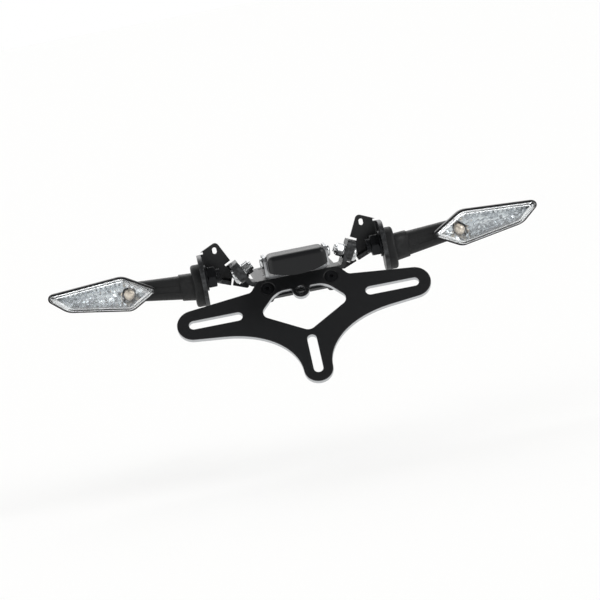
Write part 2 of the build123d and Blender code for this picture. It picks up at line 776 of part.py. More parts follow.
def bulb_plane(depth):
    """Plane across the bulb's axis, depth in front of the housing's mouth, facing back."""
    origin = (LAMP_X + BULB_X, MOUTH_Y + depth, STEM_Z + BULB_RISE)
    return Plane(origin, x_dir=(1, 0, 0), z_dir=(0, -1, 0))


def indicator_housing():
    """Bullet-nosed cup with a socket for the stalk."""
    body = lamp_shell(HOUSING_MOUTH, -HOUSING_NOSE, HOUSING_NOSE_SCALE, HOUSING_CURVE, 0)
    share = CAVITY_DEPTH / (HOUSING_MOUTH + HOUSING_NOSE)
    floor_scale = narrowed(share, HOUSING_NOSE_SCALE, HOUSING_CURVE)
    floor = HOUSING_MOUTH - CAVITY_DEPTH
    body -= lamp_cone(HOUSING_MOUTH, floor, floor_scale, HOUSING_WALL, HOUSING_WALL)
    return body - stalk_neck(SEAT_GAP)


def indicator_seal():
    """Flat ring between housing and lens."""
    ring = lamp_outline(1, SEAL_INSET) - lamp_outline(1, SEAL_INSET + SEAL_WIDTH)
    return extrude(lamp_plane(HOUSING_MOUTH) * ring, SEAL_T)


def indicator_lens():
    """Clear domed cap on the seal."""
    seat = HOUSING_MOUTH + SEAL_T
    outer = lamp_shell(seat, seat + LENS_RISE, LENS_CROWN_SCALE, LENS_CURVE, LENS_INSET)
    hollow_top = seat + LENS_RISE - LENS_WALL
    return outer - lamp_shell(seat, hollow_top, LENS_CROWN_SCALE, LENS_CURVE, LENS_INSET + LENS_WALL)


def dish_depth():
    """Depth of the reflector from the housing's mouth."""
    return CAVITY_DEPTH - DISH_FLOOR_GAP


def indicator_reflector():
    """Dish in the housing, open at its floor for the bulb's holder."""
    rim = HOUSING_WALL + SEAT_GAP
    floor = HOUSING_MOUTH - dish_depth()
    outer = lamp_cone(HOUSING_MOUTH, floor, DISH_FLOOR_SCALE, rim, 0)
    inner = lamp_cone(HOUSING_MOUTH, floor + DISH_WALL, DISH_FLOOR_SCALE, rim + DISH_WALL, DISH_WALL)
    opening = Circle(HOLDER_D / 2 + SEAT_GAP)
    return outer - inner - extrude(bulb_plane(CAVITY_DEPTH) * opening, CAVITY_DEPTH)


def bulb_holder():
    """Socket on the housing's floor, bored for the bulb's foot."""
    body = extrude(bulb_plane(CAVITY_DEPTH) * Circle(HOLDER_D / 2), HOLDER_H)
    foot = Circle(BULB_D / 2 + SEAT_GAP)
    return body - extrude(bulb_plane(CAVITY_DEPTH - HOLDER_H / 2) * foot, HOLDER_H)


def indicator_bulb():
    """Round-ended glass bulb standing in the holder."""
    foot = bulb_plane(CAVITY_DEPTH - HOLDER_H / 2)
    glass = extrude(Circle(BULB_D / 2), BULB_LENGTH + HOLDER_H / 2)
    return foot * fillet(glass.edges().group_by(Axis.Z)[-1], 0.45 * BULB_D)


# Bolts in place


def wing_bolts():
    """Bolts, washers and nuts that hold an indicator bracket on the right wing."""
    grip = 2 * BRACKET_SHEET + WASHER_T + NUT_H + BOLT_TAIL
    bolt = button_bolt(BOLT_D, BUTTON_HEAD_D, BUTTON_HEAD_H, grip, BOLT_SOCKET)
    ring = washer(WASHER_D, BOLT_D + BOLT_CLEARANCE, WASHER_T)
    nut = hex_nut(NUT_FLATS, BOLT_D + 2 * THREAD_GAP, NUT_H)
    bolts, rings, nuts = [], [], []
    for back in wing_bolt_places():
        outside = wing_place(WING_BOLT_REACH, back, BRACKET_SHEET)
        inside = wing_place(WING_BOLT_REACH, back, -BRACKET_SHEET)
        nut_seat = wing_place(WING_BOLT_REACH, back, -BRACKET_SHEET - WASHER_T)
        inwards = Vector(*WING_OUT) * -1
        bolts.append(Plane(outside, x_dir=(0, 1, 0), z_dir=WING_OUT) * bolt)
        rings.append(Plane(inside, x_dir=(0, 1, 0), z_dir=inwards) * ring)
        nuts.append(Plane(nut_seat, x_dir=(0, 1, 0), z_dir=inwards) * nut)
    return bolts, rings, nuts


def carrier_bolts():
    """Flush bolts, washers and nuts that hold the carrier on the rear flange."""
    grip = CARRIER_SHEET - COUNTERSUNK_RECESS + BRACKET_SHEET + WASHER_T + NUT_H + BOLT_TAIL
    bolt = countersunk_bolt(BOLT_D, COUNTERSUNK_HEAD_D, grip, BOLT_SOCKET)
    ring = washer(WASHER_D, BOLT_D + BOLT_CLEARANCE, WASHER_T)
    nut = hex_nut(NUT_FLATS, BOLT_D + 2 * THREAD_GAP, NUT_H)
    bolts, rings, nuts = [], [], []
    for side in (-1, 1):
        place = CARRIER_PLANE * Pos(side * CARRIER_BOLT_X, CARRIER_BOLT_HEIGHT)
        bolts.append(place * Pos(0, 0, CARRIER_SHEET - COUNTERSUNK_RECESS) * bolt)
        rings.append(place * Pos(0, 0, -BRACKET_SHEET - WASHER_T) * ring)
        nuts.append(place * Pos(0, 0, -BRACKET_SHEET - WASHER_T - NUT_H) * nut)
    return bolts, rings, nuts


def light_bracket_bolts():
    """Bolts and nuts that hold the light bracket on the deck."""
    grip = LIGHT_SHEET + BRACKET_SHEET + NUT_H + BOLT_TAIL
    bolt = button_bolt(BOLT_D, BUTTON_HEAD_D, BUTTON_HEAD_H, grip, BOLT_SOCKET)
    nut = hex_nut(NUT_FLATS, BOLT_D + 2 * THREAD_GAP, NUT_H)
    bolts, nuts = [], []
    for side in (-1, 1):
        bolts.append(Pos(side * LIGHT_BOLT_X, light_bolt_y(), LIGHT_SHEET) * bolt)
        nuts.append(Pos(side * LIGHT_BOLT_X, light_bolt_y(), -BRACKET_SHEET - NUT_H) * nut)
    return bolts, nuts


def light_screw():
    """Right-hand screw through a cheek into the light."""
    head = (LIGHT_SCREW_D, LIGHT_SCREW_HEAD_D, LIGHT_SCREW_HEAD_H)
    screw = button_bolt(*head, LIGHT_SCREW_LENGTH, LIGHT_SCREW_SOCKET)
    return Plane((CHEEK_X, light_screw_y(), light_screw_z()), x_dir=(0, 1, 0), z_dir=(1, 0, 0)) * screw


def write_brackets():
    """Sheet brackets and their fasteners."""
    write("main_bracket", main_bracket())
    write("plate_carrier", plate_carrier())
    write("indicator_bracket_right", indicator_bracket())
    write("indicator_bracket_left", mirrored(indicator_bracket()))
    write("light_bracket", light_bracket())
    for name, pieces in zip(("wing_bolts", "wing_washers", "wing_nuts"), wing_bolts()):
        write(name, *pieces, *[mirrored(piece) for piece in pieces])
    for name, pieces in zip(("carrier_bolts", "carrier_washers", "carrier_nuts"), carrier_bolts()):
        write(name, *pieces)
    for name, pieces in zip(("light_bracket_bolts", "light_bracket_nuts"), light_bracket_bolts()):
        write(name, *pieces)


def write_plate_light():
    """Plate light and its screws."""
    write("plate_light_housing", light_housing())
    write("plate_light_lens", light_lens())
    write("plate_light_board", light_board())
    write("plate_light_leds", *light_leds())
    write("plate_light_screws", light_screw(), mirrored(light_screw()))


def write_indicators():
    """Both indicators, the left one mirrored from the right."""
    makers = {
        "indicator_stalk": indicator_stalk,
        "indicator_stem": indicator_stem,
        "indicator_washer": stem_washer,
        "indicator_nut": stem_nut,
        "indicator_housing": indicator_housing,
        "indicator_seal": indicator_seal,
        "indicator_reflector": indicator_reflector,
        "indicator_bulb_holder": bulb_holder,
        "indicator_bulb": indicator_bulb,
        "indicator_lens": indicator_lens,
    }
    for name, make in makers.items():
        piece = make()
        write(f"{name}_right", piece)
        write(f"{name}_left", mirrored(piece))


os.makedirs("parts", exist_ok=True)
write_brackets()
write_plate_light()
write_indicators()
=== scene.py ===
import json
from itertools import product
from math import cos, radians, sin

import bmesh
import bpy
from bpy.props import FloatProperty, FloatVectorProperty, PointerProperty
from bpy.types import Operator, Panel, PropertyGroup
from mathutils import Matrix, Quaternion, Vector
from mathutils.bvhtree import BVHTree


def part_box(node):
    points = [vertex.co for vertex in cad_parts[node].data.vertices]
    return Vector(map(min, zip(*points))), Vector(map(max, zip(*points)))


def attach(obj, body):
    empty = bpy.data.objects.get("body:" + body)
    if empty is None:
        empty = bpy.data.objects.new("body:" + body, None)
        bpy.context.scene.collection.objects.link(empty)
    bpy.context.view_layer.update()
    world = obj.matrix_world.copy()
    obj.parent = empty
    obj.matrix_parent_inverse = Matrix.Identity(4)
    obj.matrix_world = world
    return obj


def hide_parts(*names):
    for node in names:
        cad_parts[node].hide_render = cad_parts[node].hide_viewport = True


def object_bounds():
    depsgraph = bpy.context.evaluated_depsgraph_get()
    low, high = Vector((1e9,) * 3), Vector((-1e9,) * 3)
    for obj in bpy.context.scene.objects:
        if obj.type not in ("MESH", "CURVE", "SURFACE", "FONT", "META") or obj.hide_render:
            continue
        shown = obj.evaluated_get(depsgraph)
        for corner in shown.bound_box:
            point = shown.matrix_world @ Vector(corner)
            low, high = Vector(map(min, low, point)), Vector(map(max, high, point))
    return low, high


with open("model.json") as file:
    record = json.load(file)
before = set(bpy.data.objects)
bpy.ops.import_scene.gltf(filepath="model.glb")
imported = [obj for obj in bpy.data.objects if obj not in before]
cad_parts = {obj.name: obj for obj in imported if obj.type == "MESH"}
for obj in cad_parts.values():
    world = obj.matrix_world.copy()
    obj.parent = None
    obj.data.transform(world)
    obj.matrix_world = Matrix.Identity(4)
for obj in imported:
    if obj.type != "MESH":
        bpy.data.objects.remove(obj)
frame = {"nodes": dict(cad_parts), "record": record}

bl_info = {
    "name": "Tail Tidy",
    "version": (1, 0, 0),
    "blender": (4, 5, 0),
    "location": "View3D > Sidebar > Tail Tidy",
    "description": "Finishes, lamp optics, threads and studio of a motorcycle tail tidy",
    "category": "Object",
}

CAD_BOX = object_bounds()
SLOT_OF_NODE = {part["node"]: part["material_slot"] for part in frame["record"]["subparts"]}
MM = 0.001
SIDES = ("left", "right")

# Joining, shading and softening of the CAD meshes
MERGE_DISTANCE = 0.002 * MM
FLAT_ANGLE = radians(0.4)
SMOOTH_ANGLE = radians(32)
EDGE_SEGMENTS = 2

# A cut edge has more thicknesses of a folded sheet behind it than this
CUT_DEPTH = 1.2
# A cut edge's normal has less than this share along a flat sheet's normal
SQUARE_SHARE = 0.4

# Most values of a noise pattern lie between these
NOISE_LOW = 0.3
NOISE_HIGH = 0.7

# Search for a reflector's opening: ray spacing, where rays start behind the rim, least depth that counts
OPENING_STEP = 0.25 * MM
RAY_START = 10 * MM
OPENING_DEPTH = 0.3 * MM

# Reflector's facetted slab: share of the dish's depth it may reach, and how square its bowl is
BOWL_SHARE = 0.6
BOWL_POWER = 4
SLAB_THICKNESS = 0.5 * MM
# Well left open round the bulb, and the shares of its radius between which points move onto its edge
BULB_CLEARANCE = 1.2 * MM
WELL_INNER = 0.6
WELL_OUTER = 1.25
# Facets: least and most share of the height, and the size of a facet's top beside its foot
FACET_LOW = 0.5
FACET_HIGH = 1.5
FACET_TAPER = 0.3
FACET_SEED = 7

# Threads: steps in a turn, the ridge's sides, and its radius and sinking as shares of the pitch
THREAD_STEPS = 24
RIDGE_SIDES = 4
RIDGE_SHARE = 0.5
THREAD_SINK = 0.28
# Plain end left on a bolt past its thread
THREAD_STOP = 0.2 * MM

# Studio: the floor's half width in metres, and how far it turns white where the camera or a mirror sees it
FLOOR_REACH = 40.0
FLOOR_WHITE = 0.6
# Strength of the white world as a light
WORLD_LIGHT = 0.5
# The world as metal and glass show it: strength along its height, and from the camera's side to the far one
CEILING_FADE = {"From Min": 0.1, "From Max": 0.6, "To Min": 1.0, "To Max": 0.2}
NEAR_SIDE_FADE = {"From Min": -0.7, "From Max": 0.3, "To Min": 0.45, "To Max": 1.0}
# Each light's name, where it shines from, its width in the sky in degrees, and its strength
LIGHTS = (
    ("key_light", (0.8, -0.55, 0.65), 40, 1.5),
    ("fill_light", (-0.85, -0.5, 0.4), 50, 0.8),
    ("back_light", (-0.2, 0.8, 0.75), 50, 1.2),
)
# Width of the camera's sensor in millimetres
SENSOR_WIDTH = 36.0


def linear(code):
    """Linear colour of an sRGB hex value."""
    parts = [int(code[i : i + 2], 16) / 255 for i in (1, 3, 5)]
    return tuple(p / 12.92 if p <= 0.04045 else ((p + 0.055) / 1.055) ** 2.4 for p in parts)


# Sizes and colours that a user would change


def length(name, description, millimetres):
    """A length property, its default given in millimetres."""
    return FloatProperty(name=name, description=description, default=millimetres * MM, min=0, unit="LENGTH")


def angle(name, description, degrees):
    """An angle property, its default given in degrees."""
    return FloatProperty(name=name, description=description, default=radians(degrees), subtype="ANGLE")


def colour(name, description, code):
    """A colour property, its default given as an sRGB hex value."""
    return FloatVectorProperty(
        name=name, description=description, default=linear(code), subtype="COLOR", min=0, max=1
    )


class TailTidySizes(PropertyGroup):
    """Sizes of the details that the finished pieces carry."""

    coat_edge: length("Coated edge", "Rounding that the powder coat gives a sheet's edges", 0.3)
    carrier_edge: length("Carrier edge", "Rounding of the carrier's chamfers", 0.12)
    bracket_sheet: length("Bracket sheet", "Thickness of the main and indicator brackets", 3.0)
    light_sheet: length("Light sheet", "Thickness of the light bracket", 2.0)
    fastener_edge: length("Fastener edge", "Rounding of the corners of bolts, nuts and washers", 0.15)
    moulded_edge: length("Moulded edge", "Rounding of the corners of the plate light's housing", 0.3)
    led_edge: length("LED edge", "Rounding of the corners of the LEDs", 0.1)
    facet_pitch: length("Facet pitch", "Distance between the reflector's facets", 3.2)
    facet_height: length("Facet height", "Height of the reflector's facets", 1.0)
    facet_scatter: length("Facet scatter", "Most that a facet's top is set over", 0.35)
    bowl_depth: length("Bowl depth", "Depth of the reflector's facetted face below its rim", 5.0)
    stem_pitch: length("Stem thread", "Thread pitch of the indicator stems", 1.25)
    bolt_pitch: length("Bolt thread", "Thread pitch of the bracket bolts", 0.8)


class TailTidyColours(PropertyGroup):
    """Colours of the finishes."""

    coat: colour("Powder coat", "Sheet brackets", "#111214")
    cut: colour("Cut edge", "Bright edges of the carrier and the light bracket", "#BFC1C3")
    rubbed: colour("Rubbed edge", "Bare steel where the brackets' edges are rubbed", "#595B5D")
    plastic: colour("Plastic", "Lamp and plate light housings", "#101113")
    rubber: colour("Rubber", "Indicator stalks and seals", "#131415")
    oxide: colour("Black steel", "Stems, their nuts and the carrier's bolts", "#232426")
    zinc: colour("Bright steel", "Bolts of the indicator brackets and the light", "#C8CACB")
    lens: colour("Lens", "Clear lenses", "#F7FAFB")
    reflector: colour("Reflector", "Silvered dishes", "#EDEFF1")
    bulb: colour("Bulb", "Pearly amber bulbs", "#FFEDD8")
    board: colour("Circuit board", "Solder mask of the plate light's board", "#DCDDD8")
    led: colour("LED", "Phosphor of the plate light's LEDs", "#F3E7A8")
    floor: colour("Floor", "Studio floor", "#F1F1EF")


class TailTidyStudio(PropertyGroup):
    """Viewpoint of the studio camera and height of the floor."""

    distance: FloatProperty(
        name="Distance", description="Camera to the middle of the part", default=2.64, unit="LENGTH"
    )
    focal: FloatProperty(
        name="Focal length", description="Lens of the camera in millimetres", default=228.0, unit="CAMERA"
    )
    azimuth: angle("Azimuth", "Turn of the camera about the upright axis, from straight behind", -2.5)
    elevation: angle("Elevation", "Height of the camera above the horizon", 5.0)
    roll: angle("Roll", "Lean of the camera to its right", 11.0)
    drop: length("Floor drop", "Space between the part's lowest point and the floor", 60.0)


class TailTidySettings(PropertyGroup):
    """All settings of the tail tidy."""

    sizes: PointerProperty(type=TailTidySizes)
    colours: PointerProperty(type=TailTidyColours)
    studio: PointerProperty(type=TailTidyStudio)


# Materials


def add_node(tree, kind, sockets=None, **settings):
    """Adds a node, sets its properties, and feeds its inputs with values or other nodes' outputs.

    An input that shares its name with another of the node's inputs is given by its number.
    """
    node = tree.nodes.new(kind)
    for name, value in settings.items():
        setattr(node, name, value)
    for name, value in (sockets or {}).items():
        if isinstance(value, bpy.types.NodeSocket):
            tree.links.new(value, node.inputs[name])
        else:
            node.inputs[name].default_value = value
    return node


def surface(name, sockets):
    """A material with one principled shader, its tree, and that shader."""
    material = bpy.data.materials.new(name)
    material.use_nodes = True
    tree = material.node_tree
    shader = tree.nodes["Principled BSDF"]
    for socket, value in sockets.items():
        shader.inputs[socket].default_value = value
    return material, tree, shader


def grain(tree, shader, size, depth, detail=2.0, strength=1.0):
    """Fine relief of the given grain size, on the piece's own coordinates. Returns the pattern."""
    place = add_node(tree, "ShaderNodeTexCoord").outputs["Object"]
    noise = add_node(tree, "ShaderNodeTexNoise", {"Vector": place, "Scale": 1 / size, "Detail": detail})
    bump = add_node(
        tree,
        "ShaderNodeBump",
        {"Height": noise.outputs["Fac"], "Distance": depth, "Strength": strength},
    )
    tree.links.new(bump.outputs["Normal"], shader.inputs["Normal"])
    return noise.outputs["Fac"]


def vary(tree, socket, pattern, low, high):
    """Spreads a socket's value between low and high by a noise pattern."""
    spread = add_node(
        tree,
        "ShaderNodeMapRange",
        {"Value": pattern, "From Min": NOISE_LOW, "From Max": NOISE_HIGH, "To Min": low, "To Max": high},
    )
    tree.links.new(spread.outputs["Result"], socket)


def powder_coat(colours):
    """Baked polyester powder on steel: semi-gloss, with a fine pebbled skin."""
    material, tree, shader = surface(
        "black_powder_coat", {"Base Color": (*colours.coat, 1), "IOR": 1.5, "Specular IOR Level": 0.4}
    )
    # The real grain is about 0.3 mm, drawn at 0.9 mm so that it shows
    pattern = grain(tree, shader, size=0.9 * MM, depth=0.05 * MM, detail=3.0, strength=0.7)
    vary(tree, shader.inputs["Roughness"], pattern, low=0.34, high=0.5)
    return material


def cut_sheet(colours):
    """Milled edge of the sheet, left bare: satin silver, with fine cutter marks."""
    material, tree, shader = surface("milled_edge", {"Base Color": (*colours.cut, 1), "Metallic": 1.0})
    # The real cutter marks are about 0.1 mm apart, drawn at 0.6 mm so that they show
    pattern = grain(tree, shader, size=0.6 * MM, depth=0.01 * MM, detail=3.0, strength=0.5)
    vary(tree, shader.inputs["Roughness"], pattern, low=0.26, high=0.44)
    return material


def rubbed_sheet(colours):
    """Coated edge of a folded bracket, rubbed in handling: dark, with thin steel showing in places."""
    material, tree, shader = surface("rubbed_coat", {"Roughness": 0.36})
    # Rubbed places are about 2 mm across
    pattern = grain(tree, shader, size=2.2 * MM, depth=0.02 * MM, detail=5.0, strength=0.5)
    bare = add_node(
        tree,
        "ShaderNodeMapRange",
        {"Value": pattern, "From Min": 0.46, "From Max": 0.66, "To Min": 0.05, "To Max": 0.6},
    )
    tone = add_node(
        tree,
        "ShaderNodeMix",
        {0: bare.outputs["Result"], 6: (*colours.coat, 1), 7: (*colours.rubbed, 1)},
        data_type="RGBA",
    )
    tree.links.new(tone.outputs[2], shader.inputs["Base Color"])
    tree.links.new(bare.outputs["Result"], shader.inputs["Metallic"])
    return material


def moulded_abs(colours):
    """Injection-moulded ABS from a spark-eroded tool: satin, evenly fine-grained."""
    material, tree, shader = surface(
        "black_abs", {"Base Color": (*colours.plastic, 1), "IOR": 1.54, "Specular IOR Level": 0.3}
    )
    # The real grain is about 0.2 mm, drawn at 0.7 mm so that it shows
    pattern = grain(tree, shader, size=0.7 * MM, depth=0.02 * MM, strength=0.5)
    vary(tree, shader.inputs["Roughness"], pattern, low=0.32, high=0.42)
    return material


def moulded_rubber(colours):
    """Moulded EPDM rubber: matt, with a faint bloom that lightens it unevenly."""
    material, tree, shader = surface(
        "black_rubber", {"Base Color": (*colours.rubber, 1), "IOR": 1.52, "Specular IOR Level": 0.35}
    )
    # The bloom lies in patches of about 1.6 mm
    pattern = grain(tree, shader, size=1.6 * MM, depth=0.03 * MM, detail=4.0, strength=0.5)
    vary(tree, shader.inputs["Roughness"], pattern, low=0.48, high=0.66)
    return material


def black_oxide(colours):
    """Steel blackened in a hot bath and oiled: dark, with a low metallic shine."""
    material, tree, shader = surface(
        "black_oxide_steel", {"Base Color": (*colours.oxide, 1), "Metallic": 0.85}
    )
    # The real etch is finer than 0.1 mm, drawn at 0.5 mm so that it shows
    pattern = grain(tree, shader, size=0.5 * MM, depth=0.01 * MM, strength=0.4)
    vary(tree, shader.inputs["Roughness"], pattern, low=0.28, high=0.45)
    return material


def zinc_plate(colours):
    """Bright zinc on cold-formed steel: silvery, with fine forming marks."""
    material, tree, shader = surface(
        "bright_zinc_steel", {"Base Color": (*colours.zinc, 1), "Metallic": 1.0}
    )
    # Forming marks are about 0.6 mm apart
    pattern = grain(tree, shader, size=0.6 * MM, depth=0.008 * MM, detail=4.0, strength=0.5)
    vary(tree, shader.inputs["Roughness"], pattern, low=0.16, high=0.34)
    return material


def polycarbonate(colours):
    """Clear moulded polycarbonate: polished and see-through, with the faint ripple of its mould."""
    # An alpha below 1 lets light fall straight through onto what lies behind
    material, tree, shader = surface(
        "clear_polycarbonate",
        {"Base Color": (*colours.lens, 1), "IOR": 1.585, "Transmission Weight": 1.0, "Alpha": 0.85},
    )
    # The ripple's crests are about 7 mm apart
    pattern = grain(tree, shader, size=7.0 * MM, depth=0.03 * MM, detail=1.0, strength=0.3)
    vary(tree, shader.inputs["Roughness"], pattern, low=0.01, high=0.04)
    return material


def silvered(colours):
    """Aluminium evaporated on moulded plastic: a mirror with a slight haze."""
    material, tree, shader = surface(
        "metallised_reflector", {"Base Color": (*colours.reflector, 1), "Metallic": 0.9}
    )
    # The haze lies in patches of about 1.2 mm
    pattern = grain(tree, shader, size=1.2 * MM, depth=0.01 * MM, strength=0.3)
    vary(tree, shader.inputs["Roughness"], pattern, low=0.06, high=0.16)
    return material


def amber_glass(colours):
    """Glass with a pearly amber coating, as behind a clear lens: bright, faintly peach, glossy."""
    material, tree, shader = surface(
        "pearl_amber_glass",
        {
            "Base Color": (*colours.bulb, 1),
            "Metallic": 0.55,
            "Coat Weight": 0.6,
            "Coat Roughness": 0.05,
        },
    )
    # The coating is uneven over about 2 mm
    pattern = grain(tree, shader, size=2.0 * MM, depth=0.02 * MM, strength=0.3)
    vary(tree, shader.inputs["Roughness"], pattern, low=0.14, high=0.3)
    return material


def solder_mask(colours):
    """White solder mask on glass-fibre board: satin, with the weave faintly showing."""
    material, tree, shader = surface(
        "white_solder_mask", {"Base Color": (*colours.board, 1), "IOR": 1.5, "Roughness": 0.4}
    )
    # The weave's threads are about 0.5 mm apart
    grain(tree, shader, size=0.5 * MM, depth=0.01 * MM, strength=0.3)
    return material


def led_phosphor(colours):
    """Yellow phosphor under clear silicone: glossy over a soft pale yellow."""
    material, tree, shader = surface(
        "led_phosphor",
        {"Base Color": (*colours.led, 1), "IOR": 1.41, "Roughness": 0.25, "Subsurface Weight": 0.3},
    )
    # The real grains are finer than 0.05 mm, drawn at 0.4 mm so that they show
    grain(tree, shader, size=0.4 * MM, depth=0.005 * MM, strength=0.3)
    return material


FINISHES = {
    "black_powder_coat": powder_coat,
    "cut_edge": cut_sheet,
    "rubbed_edge": rubbed_sheet,
    "black_plastic": moulded_abs,
    "black_rubber": moulded_rubber,
    "black_steel": black_oxide,
    "bright_steel": zinc_plate,
    "clear_lens": polycarbonate,
    "silvered_reflector": silvered,
    "amber_glass": amber_glass,
    "circuit_board": solder_mask,
    "led_white": led_phosphor,
}


def finish_of(context, slot):
    """The material of a record slot or a cut edge, made the first time it is asked for."""
    key = f"finish_{slot}"
    name = context.scene.get(key)
    if name is None:
        material = FINISHES[slot](context.scene.tail_tidy.colours)
        context.scene[key] = material.name
        return material
    return bpy.data.materials[name]


# Meshes


def link_piece(name, data):
    """A new object at the origin that shows a mesh, a light or a camera."""
    piece = bpy.data.objects.new(name, data)
    bpy.context.scene.collection.objects.link(piece)
    return piece


def apply_modifiers(piece):
    """Turns a piece with its modifiers into a plain mesh."""
    graph = bpy.context.evaluated_depsgraph_get()
    result = piece.evaluated_get(graph)
    mesh = bpy.data.meshes.new_from_object(result, preserve_all_data_layers=True, depsgraph=graph)
    piece.modifiers.clear()
    source, piece.data = piece.data, mesh
    bpy.data.meshes.remove(source)
    mesh.name = piece.name


def merged(node):
    """A CAD node's mesh with its triangles joined, open for editing."""
    shape = bmesh.new()
    shape.from_mesh(frame["nodes"][node].data)
    bmesh.ops.remove_doubles(shape, verts=shape.verts, dist=MERGE_DISTANCE)
    bmesh.ops.dissolve_degenerate(shape, edges=shape.edges, dist=MERGE_DISTANCE)
    return shape


def mark_thick_faces(shape, sheet):
    """Gives the second material to every face that has more than the sheet's thickness behind it."""
    tree = BVHTree.FromBMesh(shape)
    for face in shape.faces:
        start = face.calc_center_median() - face.normal * MERGE_DISTANCE
        depth = tree.ray_cast(start, -face.normal)[3]
        face.material_index = int(depth is not None and depth > CUT_DEPTH * sheet)


def mark_square_faces(shape):
    """Gives the second material to the faces of a flat sheet that stand square to its main face."""
    main = max(shape.faces, key=lambda face: face.calc_area()).normal.copy()
    for face in shape.faces:
        face.material_index = int(abs(face.normal.dot(main)) < SQUARE_SHARE)


def finished(context, node, edge=0.0, cut=None, sheet=0.0):
    """A CAD node with its own finish, smooth curves and softened edges, in place of the node.

    For a sheet, cut names the finish of its cut edges, and for a folded one, sheet gives its thickness.
    """
    slot = SLOT_OF_NODE[node]
    shape = merged(node)
    if sheet > 0:
        mark_thick_faces(shape, sheet)
    elif cut:
        mark_square_faces(shape)
    if edge > 0:
        bmesh.ops.dissolve_limit(
            shape, angle_limit=FLAT_ANGLE, verts=shape.verts, edges=shape.edges, delimit={"MATERIAL"}
        )
    mesh = bpy.data.meshes.new(f"finished_{node}")
    shape.to_mesh(mesh)
    shape.free()
    piece = link_piece(f"finished_{node}", mesh)
    mesh.materials.append(finish_of(context, slot))
    if cut:
        mesh.materials.append(finish_of(context, cut))
    mesh.polygons.foreach_set("use_smooth", [True] * len(mesh.polygons))
    if edge > 0:
        bevel = piece.modifiers.new("Edges", "BEVEL")
        bevel.limit_method = "ANGLE"
        bevel.angle_limit = SMOOTH_ANGLE
        bevel.width = edge
        bevel.segments = EDGE_SEGMENTS
        bevel.use_clamp_overlap = True
        bevel.miter_outer = "MITER_ARC"
        normals = piece.modifiers.new("Normals", "WEIGHTED_NORMAL")
        normals.keep_sharp = True
        apply_modifiers(piece)
    else:
        mesh.set_sharp_from_angle(angle=SMOOTH_ANGLE)
    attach(piece, "root")
    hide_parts(node)


# Geometry node trees


def start_tree(name, source, sizes):
    """A tree that takes a mesh, some sizes and a material by name, and the node that hands them out."""
    tree = bpy.data.node_groups.new(name, "GeometryNodeTree")
    tree.interface.new_socket(source, in_out="INPUT", socket_type="NodeSocketGeometry")
    for label in sizes:
        tree.interface.new_socket(label, in_out="INPUT", socket_type="NodeSocketFloat")
    tree.interface.new_socket("Material", in_out="INPUT", socket_type="NodeSocketMaterial")
    tree.interface.new_socket("Result", in_out="OUTPUT", socket_type="NodeSocketGeometry")
    return tree, add_node(tree, "NodeGroupInput")


def end_tree(tree, given, geometry):
    """Ends a tree with real meshes in its material."""
    real = add_node(tree, "GeometryNodeRealizeInstances", {"Geometry": geometry})
    coated = add_node(
        tree,
        "GeometryNodeSetMaterial",
        {"Geometry": real.outputs["Geometry"], "Material": given.outputs["Material"]},
    )
    add_node(tree, "NodeGroupOutput", {"Result": coated.outputs["Geometry"]})


def run_tree(context, piece, tree, slot, values):
    """Runs a tree on a piece and keeps the result as a plain mesh."""
    modifier = piece.modifiers.new("Tree", "NODES")
    modifier.node_group = tree
    sockets = {item.name: item.identifier for item in tree.interface.items_tree if item.in_out == "INPUT"}
    for label, value in values.items():
        modifier[sockets[label]] = value
    modifier[sockets["Material"]] = finish_of(context, slot)
    apply_modifiers(piece)
    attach(piece, "root")


# Threads


def thread_tree():
    """Tree that winds a thread's ridge from each point of a mesh, along the point's facing."""
    tree, given = start_tree("Thread", "Points", ("Radius", "Length", "Pitch"))
    turns = add_node(
        tree,
        "ShaderNodeMath",
        {0: given.outputs["Length"], 1: given.outputs["Pitch"]},
        operation="DIVIDE",
    )
    spiral = add_node(
        tree,
        "GeometryNodeCurveSpiral",
        {
            "Resolution": THREAD_STEPS,
            "Rotations": turns.outputs["Value"],
            "Start Radius": given.outputs["Radius"],
            "End Radius": given.outputs["Radius"],
            "Height": given.outputs["Length"],
        },
    )
    ridge = add_node(
        tree, "ShaderNodeMath", {0: given.outputs["Pitch"], 1: RIDGE_SHARE}, operation="MULTIPLY"
    )
    profile = add_node(
        tree,
        "GeometryNodeCurvePrimitiveCircle",
        {"Resolution": RIDGE_SIDES, "Radius": ridge.outputs["Value"]},
    )
    wound = add_node(
        tree,
        "GeometryNodeCurveToMesh",
        {"Curve": spiral.outputs["Curve"], "Profile Curve": profile.outputs["Curve"], "Fill Caps": True},
    )
    facing = add_node(tree, "GeometryNodeInputNamedAttribute", {"Name": "facing"}, data_type="FLOAT_VECTOR")
    turn = add_node(
        tree, "FunctionNodeAlignRotationToVector", {"Vector": facing.outputs["Attribute"]}, axis="Z"
    )
    placed = add_node(
        tree,
        "GeometryNodeInstanceOnPoints",
        {
            "Points": given.outputs["Points"],
            "Instance": wound.outputs["Mesh"],
            "Rotation": turn.outputs["Rotation"],
        },
    )
    end_tree(tree, given, placed.outputs["Instances"])
    return tree


def islands(node):
    """The separate solids of a CAD node, each as its points."""
    shape = merged(node)
    seen = set()
    groups = []
    for start in shape.verts:
        if start in seen:
            continue
        seen.add(start)
        group, front = [], [start]
        while front:
            vert = front.pop()
            group.append(vert.co.copy())
            near = [edge.other_vert(vert) for edge in vert.link_edges]
            front.extend(other for other in near if other not in seen)
            seen.update(near)
        groups.append(group)
    shape.free()
    return groups


def box_middle(points):
    """Middle of the box round some points."""
    return Vector([(min(p[i] for p in points) + max(p[i] for p in points)) / 2 for i in range(3)])


